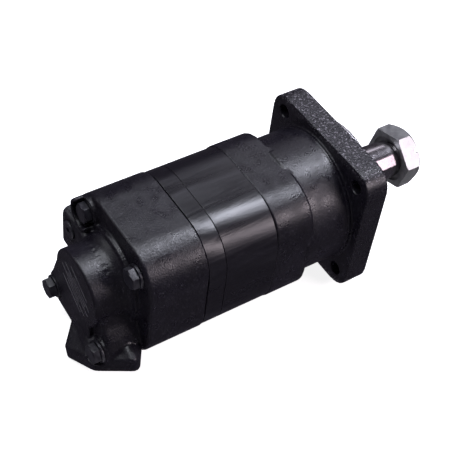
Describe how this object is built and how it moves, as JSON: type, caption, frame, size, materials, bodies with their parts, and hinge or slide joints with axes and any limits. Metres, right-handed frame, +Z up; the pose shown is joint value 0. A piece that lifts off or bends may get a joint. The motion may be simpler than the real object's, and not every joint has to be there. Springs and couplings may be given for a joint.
{
  "type": "hydraulic motor",
  "caption": "Low-speed disc-valve hydraulic motor with a square four-hole flange, a stacked rounded-square body and a tapered keyed output shaft with a slotted nut.",
  "frame": {"origin": "on the shaft axis, in the mounting face of the flange", "axes": "+X along the shaft out of the drive end, +Z up, flange sides along Y and Z"},
  "size_m": [0.3914, 0.15, 0.1538],
  "materials": {
    "housing_paint": "black paint over sand-cast iron, satin",
    "ring_paint": "black paint over ground steel, glossy",
    "rear_paint": "black paint over sand-cast iron, satin",
    "black_fastener": "black painted steel fastener",
    "rubber": "black nitrile",
    "polished_shaft": "ground and polished",
    "key_steel": "bright drawn key steel",
    "zinc_nut": "bright zinc plate",
    "bearing_steel": "ground bearing steel",
    "inner_steel": "hardened and ground"
  },
  "bodies": {
    "housing": {"bearing_housing": "housing_paint", "dust_seal": "rubber", "shaft_seal": "rubber", "front_bearing_cup": "bearing_steel", "rear_bearing_cup": "bearing_steel", "wear_plate": "inner_steel", "geroler_ring": "ring_paint", "valve_plate": "ring_paint", "valve_housing": "rear_paint", "housing_seal_ring": "rubber", "ring_seal_ring": "rubber", "valve_seal_ring": "rubber", "balance_ring": "inner_steel", "balance_ring_inner_seal": "rubber", "balance_ring_outer_seal": "rubber", "balance_spring_1": "inner_steel", "balance_spring_2": "inner_steel", "balance_pin_1": "inner_steel", "balance_pin_2": "inner_steel", "drain_plug": "black_fastener", "tie_bolt_1": "black_fastener", "tie_bolt_2": "black_fastener", "tie_bolt_3": "black_fastener", "tie_bolt_4": "black_fastener", "bolt_washer_1": "black_fastener", "bolt_washer_2": "black_fastener", "bolt_washer_3": "black_fastener", "bolt_washer_4": "black_fastener"},
    "shaft": {"output_shaft": "polished_shaft", "shaft_key": "key_steel", "shaft_nut": "zinc_nut", "front_bearing_cone": "bearing_steel", "rear_bearing_cone": "bearing_steel", "bearing_snap_ring": "bearing_steel"},
    "front_rollers": {"front_roller_set": "bearing_steel"},
    "rear_rollers": {"rear_roller_set": "bearing_steel"},
    "star_orbit": {"drive_spacer": "inner_steel"},
    "star": {"geroler_star": "inner_steel"},
    "drive_link": {"drive_link": "inner_steel"},
    "valve_drive": {"valve_drive": "inner_steel"},
    "disc_valve": {"disc_valve": "inner_steel"},
    "roll_1": {"geroler_roll_1": "inner_steel"},
    "roll_2": {"geroler_roll_2": "inner_steel"},
    "roll_3": {"geroler_roll_3": "inner_steel"},
    "roll_4": {"geroler_roll_4": "inner_steel"},
    "roll_5": {"geroler_roll_5": "inner_steel"},
    "roll_6": {"geroler_roll_6": "inner_steel"},
    "roll_7": {"geroler_roll_7": "inner_steel"}
  },
  "joints": [
    {"name": "shaft_spin", "type": "hinge", "parent": "housing", "child": "shaft", "pos_m": [0, 0, 0], "axis": [1, 0, 0], "continuous": true},
    {"name": "front_rollers_spin", "type": "hinge", "parent": "housing", "child": "front_rollers", "pos_m": [-0.018, 0, 0], "axis": [1, 0, 0], "continuous": true},
    {"name": "rear_rollers_spin", "type": "hinge", "parent": "housing", "child": "rear_rollers", "pos_m": [-0.06, 0, 0], "axis": [1, 0, 0], "continuous": true},
    {"name": "star_orbit", "type": "hinge", "parent": "housing", "child": "star_orbit", "pos_m": [-0.138, 0, 0], "axis": [1, 0, 0], "continuous": true},
    {"name": "star_spin", "type": "hinge", "parent": "star_orbit", "child": "star", "pos_m": [-0.138, 0.0031, 0], "axis": [1, 0, 0], "continuous": true},
    {"name": "drive_link_spin", "type": "hinge", "parent": "star_orbit", "child": "drive_link", "pos_m": [-0.072, 0, 0], "axis": [0.9983, -0.0584, 0], "continuous": true},
    {"name": "valve_drive_spin", "type": "hinge", "parent": "star_orbit", "child": "valve_drive", "pos_m": [-0.151, 0.0031, 0], "axis": [0.9976, 0.0687, 0], "continuous": true},
    {"name": "disc_valve_spin", "type": "hinge", "parent": "housing", "child": "disc_valve", "pos_m": [-0.193, 0, 0], "axis": [1, 0, 0], "continuous": true},
    {"name": "roll_1_spin", "type": "hinge", "parent": "housing", "child": "roll_1", "pos_m": [-0.138, 0, 0.04], "axis": [1, 0, 0], "continuous": true},
    {"name": "roll_2_spin", "type": "hinge", "parent": "housing", "child": "roll_2", "pos_m": [-0.138, -0.03127, 0.02494], "axis": [1, 0, 0], "continuous": true},
    {"name": "roll_3_spin", "type": "hinge", "parent": "housing", "child": "roll_3", "pos_m": [-0.138, -0.039, -0.0089], "axis": [1, 0, 0], "continuous": true},
    {"name": "roll_4_spin", "type": "hinge", "parent": "housing", "child": "roll_4", "pos_m": [-0.138, -0.01736, -0.03604], "axis": [1, 0, 0], "continuous": true},
    {"name": "roll_5_spin", "type": "hinge", "parent": "housing", "child": "roll_5", "pos_m": [-0.138, 0.01736, -0.03604], "axis": [1, 0, 0], "continuous": true},
    {"name": "roll_6_spin", "type": "hinge", "parent": "housing", "child": "roll_6", "pos_m": [-0.138, 0.039, -0.0089], "axis": [1, 0, 0], "continuous": true},
    {"name": "roll_7_spin", "type": "hinge", "parent": "housing", "child": "roll_7", "pos_m": [-0.138, 0.03127, 0.02494], "axis": [1, 0, 0], "continuous": true}
  ],
  "couplings": [
    {"joint": "front_rollers_spin", "follows": "shaft_spin", "ratio": 0.4596},
    {"joint": "rear_rollers_spin", "follows": "shaft_spin", "ratio": 0.4596},
    {"joint": "star_orbit", "follows": "shaft_spin", "ratio": -6},
    {"joint": "star_spin", "follows": "shaft_spin", "ratio": 7},
    {"joint": "drive_link_spin", "follows": "shaft_spin", "ratio": 7},
    {"joint": "valve_drive_spin", "follows": "shaft_spin", "ratio": 7},
    {"joint": "disc_valve_spin", "follows": "shaft_spin", "ratio": 1},
    {"joint": "roll_1_spin", "follows": "shaft_spin", "ratio": -3.8193},
    {"joint": "roll_2_spin", "follows": "shaft_spin", "ratio": -3.8193},
    {"joint": "roll_3_spin", "follows": "shaft_spin", "ratio": -3.8193},
    {"joint": "roll_4_spin", "follows": "shaft_spin", "ratio": -3.8193},
    {"joint": "roll_5_spin", "follows": "shaft_spin", "ratio": -3.8193},
    {"joint": "roll_6_spin", "follows": "shaft_spin", "ratio": -3.8193},
    {"joint": "roll_7_spin", "follows": "shaft_spin", "ratio": -3.8193}
  ]
}
